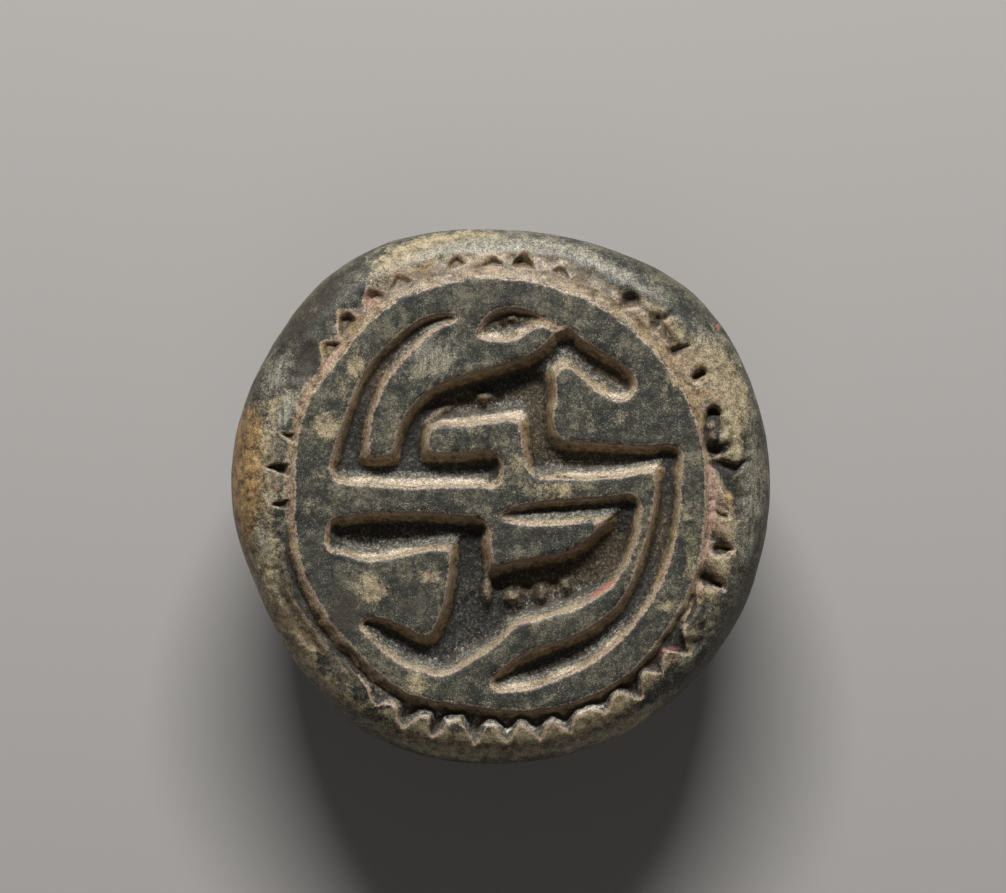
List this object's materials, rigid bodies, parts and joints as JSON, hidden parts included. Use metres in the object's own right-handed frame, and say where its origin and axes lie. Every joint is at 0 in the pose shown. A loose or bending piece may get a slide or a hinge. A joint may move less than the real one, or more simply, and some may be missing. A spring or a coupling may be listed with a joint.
{
  "type": "seal amulet",
  "caption": "Round domed stamp-seal amulet of dark stone, its flat face carved with horned animals inside a ring groove and a zigzag border, pierced for a string.",
  "frame": {"origin": "middle of the small flat spot on the domed back, where the seal lies", "axes": "+Z out of the carved face, +Y towards the top of the carved scene, +X to its right and along the string hole"},
  "size_m": [0.0302, 0.0299, 0.0126],
  "materials": {
    "stone": "dark, mottled, hand-polished and worn soft stone"
  },
  "bodies": {
    "root": {"seal_stone": "stone"}
  },
  "joints": []
}
